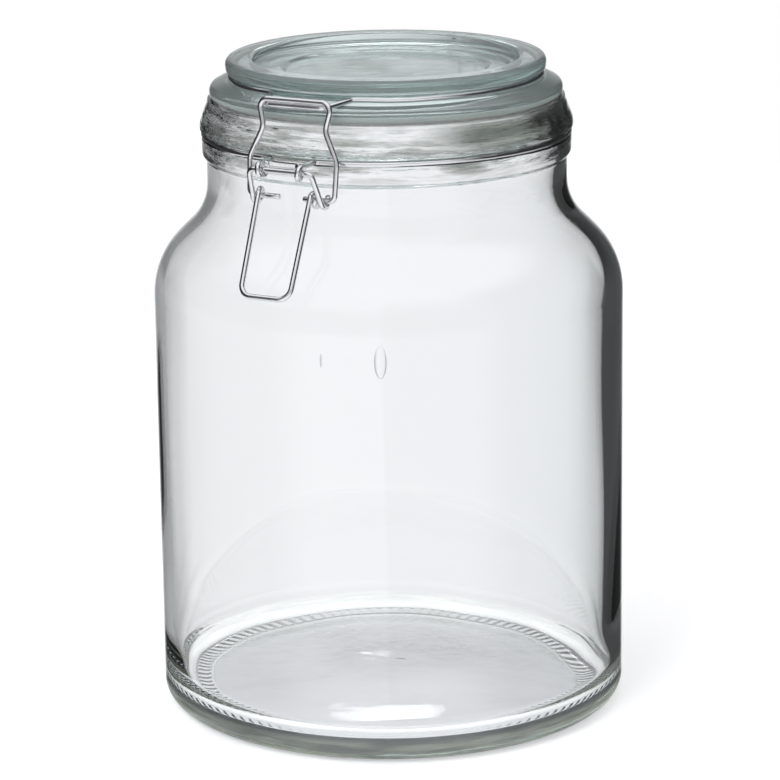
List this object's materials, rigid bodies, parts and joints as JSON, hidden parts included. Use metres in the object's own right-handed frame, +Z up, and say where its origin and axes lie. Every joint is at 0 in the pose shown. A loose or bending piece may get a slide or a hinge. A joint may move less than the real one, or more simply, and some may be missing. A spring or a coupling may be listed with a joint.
{
  "type": "glass storage jar",
  "caption": "Clear glass storage jar with a hinged pressed-glass lid, a soft seal and a bent-wire clamp that pulls the lid shut.",
  "frame": {"origin": "centre of the base, on the plane the jar stands on", "axes": "+Z up the jar's axis to the lid, -Y towards the clamp at the front, +Y towards the lid's hinge, +X to the right when facing the clamp from the front"},
  "size_m": [0.155, 0.1584, 0.217],
  "materials": {
    "jar_glass": "clear, fire-polished",
    "lid_glass": "clear with a green tint, pressed",
    "steel_wire": "bright drawn stainless wire",
    "seal": "translucent soft silicone"
  },
  "bodies": {
    "jar": {"jar": "jar_glass", "neck_hoop": "steel_wire"},
    "lid": {"lid": "lid_glass", "seal_ring": "seal", "lid_hoop": "steel_wire"},
    "lever": {"lever": "steel_wire"},
    "bail": {"bail": "steel_wire"}
  },
  "joints": [
    {"name": "lid_hinge", "type": "hinge", "parent": "jar", "child": "lid", "pos_m": [0, 0.0648, 0.1924], "axis": [-1, 0, 0], "range_deg": [0, 105]},
    {"name": "lever_pivot", "type": "hinge", "parent": "jar", "child": "lever", "pos_m": [0, -0.0678, 0.19035], "axis": [-1, 0, 0], "range_deg": [0, 120]},
    {"name": "bail_pivot", "type": "hinge", "parent": "lever", "child": "bail", "pos_m": [0, -0.0635, 0.1813], "axis": [-1, 0, 0], "range_deg": [-138, 0]}
  ],
  "couplings": [
    {"joint": "bail_pivot", "follows": "lever_pivot", "ratio": -1.15}
  ]
}
